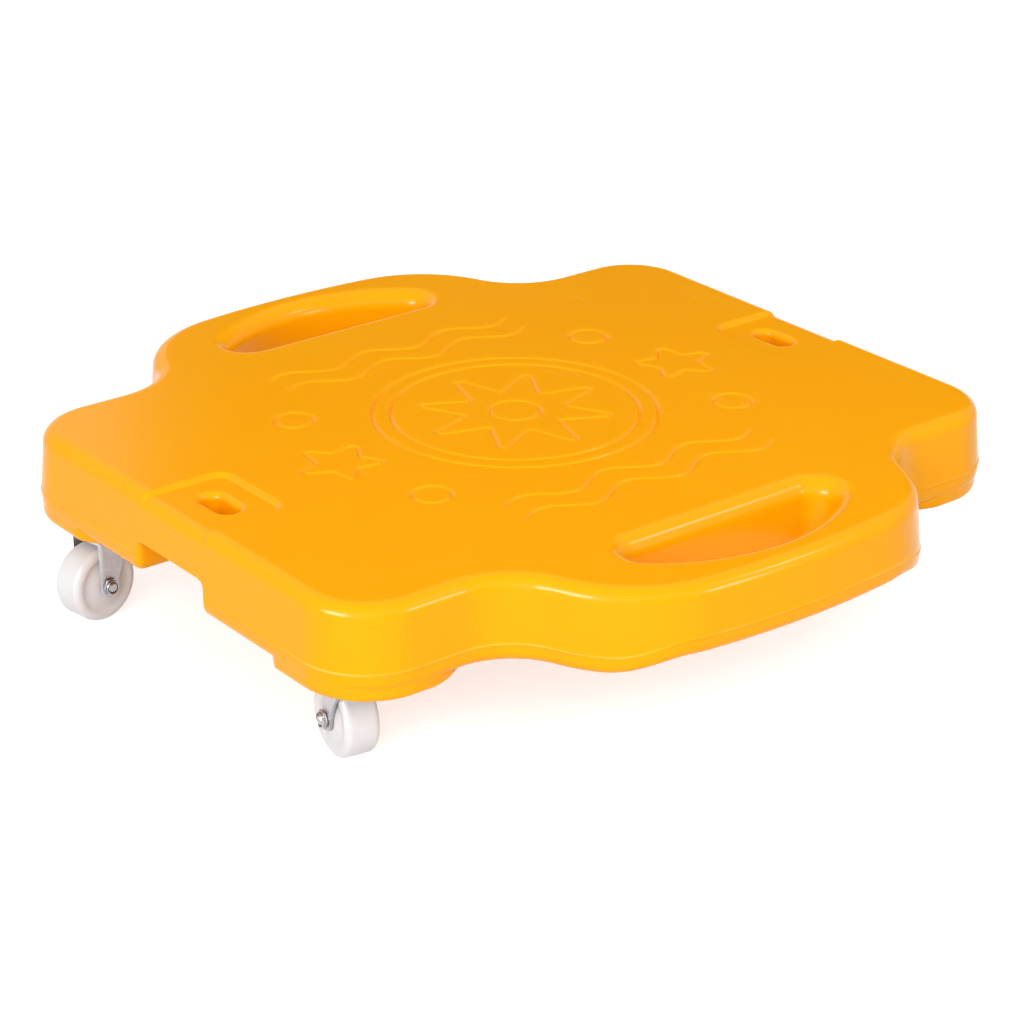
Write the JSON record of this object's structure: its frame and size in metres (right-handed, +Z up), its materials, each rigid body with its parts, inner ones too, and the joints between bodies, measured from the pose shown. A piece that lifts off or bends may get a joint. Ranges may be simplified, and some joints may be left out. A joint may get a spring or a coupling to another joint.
{
  "type": "scooter board",
  "caption": "Low square scooter board: hollow moulded deck with hand-hole grips and link slots, on swivel casters.",
  "frame": {"origin": "on the floor under the middle of the deck", "axes": "+Z up, +Y from one hand grip to the other, +X from one straight side to the other"},
  "size_m": [0.4028, 0.42, 0.095],
  "materials": {
    "deck_plastic": "glossy moulded polyethylene",
    "zinc_steel": "zinc plated",
    "wheel_nylon": "satin, slightly translucent",
    "bright_steel": "bright"
  },
  "bodies": {
    "board": {"deck": "deck_plastic", "mount_plate_rear_left": "zinc_steel", "kingpin_rear_left": "bright_steel", "ball_ring_rear_left": "bright_steel", "screw_rear_left_1": "bright_steel", "screw_rear_left_2": "bright_steel", "screw_rear_left_3": "bright_steel", "screw_rear_left_4": "bright_steel", "mount_plate_front_left": "zinc_steel", "kingpin_front_left": "bright_steel", "ball_ring_front_left": "bright_steel", "screw_front_left_1": "bright_steel", "screw_front_left_2": "bright_steel", "screw_front_left_3": "bright_steel", "screw_front_left_4": "bright_steel", "mount_plate_front_right": "zinc_steel", "kingpin_front_right": "bright_steel", "ball_ring_front_right": "bright_steel", "screw_front_right_1": "bright_steel", "screw_front_right_2": "bright_steel", "screw_front_right_3": "bright_steel", "screw_front_right_4": "bright_steel", "mount_plate_rear_right": "zinc_steel", "kingpin_rear_right": "bright_steel", "ball_ring_rear_right": "bright_steel", "screw_rear_right_1": "bright_steel", "screw_rear_right_2": "bright_steel", "screw_rear_right_3": "bright_steel", "screw_rear_right_4": "bright_steel"},
    "caster_rear_left": {"fork_rear_left": "zinc_steel", "axle_sleeve_rear_left": "zinc_steel", "axle_bolt_rear_left": "bright_steel", "axle_nut_rear_left": "bright_steel"},
    "roller_rear_left": {"wheel_rear_left": "wheel_nylon"},
    "caster_front_left": {"fork_front_left": "zinc_steel", "axle_sleeve_front_left": "zinc_steel", "axle_bolt_front_left": "bright_steel", "axle_nut_front_left": "bright_steel"},
    "roller_front_left": {"wheel_front_left": "wheel_nylon"},
    "caster_front_right": {"fork_front_right": "zinc_steel", "axle_sleeve_front_right": "zinc_steel", "axle_bolt_front_right": "bright_steel", "axle_nut_front_right": "bright_steel"},
    "roller_front_right": {"wheel_front_right": "wheel_nylon"},
    "caster_rear_right": {"fork_rear_right": "zinc_steel", "axle_sleeve_rear_right": "zinc_steel", "axle_bolt_rear_right": "bright_steel", "axle_nut_rear_right": "bright_steel"},
    "roller_rear_right": {"wheel_rear_right": "wheel_nylon"}
  },
  "joints": [
    {"name": "swivel_rear_left", "type": "hinge", "parent": "board", "child": "caster_rear_left", "pos_m": [-0.1665, 0.103, 0.05], "axis": [0, 0, 1], "continuous": true},
    {"name": "roll_rear_left", "type": "hinge", "parent": "caster_rear_left", "child": "roller_rear_left", "pos_m": [-0.18179, 0.10044, 0.019], "axis": [-0.165, 0.9863, 0], "continuous": true},
    {"name": "swivel_front_left", "type": "hinge", "parent": "board", "child": "caster_front_left", "pos_m": [-0.1665, -0.103, 0.05], "axis": [0, 0, 1], "continuous": true},
    {"name": "roll_front_left", "type": "hinge", "parent": "caster_front_left", "child": "roller_front_left", "pos_m": [-0.16381, -0.08773, 0.019], "axis": [0.9848, -0.1736, 0], "continuous": true},
    {"name": "swivel_front_right", "type": "hinge", "parent": "board", "child": "caster_front_right", "pos_m": [0.1665, -0.103, 0.05], "axis": [0, 0, 1], "continuous": true},
    {"name": "roll_front_right", "type": "hinge", "parent": "caster_front_right", "child": "roller_front_right", "pos_m": [0.15875, -0.08958, 0.019], "axis": [0.866, 0.5, 0], "continuous": true},
    {"name": "swivel_rear_right", "type": "hinge", "parent": "board", "child": "caster_rear_right", "pos_m": [0.1665, 0.103, 0.05], "axis": [0, 0, 1], "continuous": true},
    {"name": "roll_rear_right", "type": "hinge", "parent": "caster_rear_right", "child": "roller_rear_right", "pos_m": [0.18179, 0.10044, 0.019], "axis": [-0.165, -0.9863, 0], "continuous": true}
  ]
}
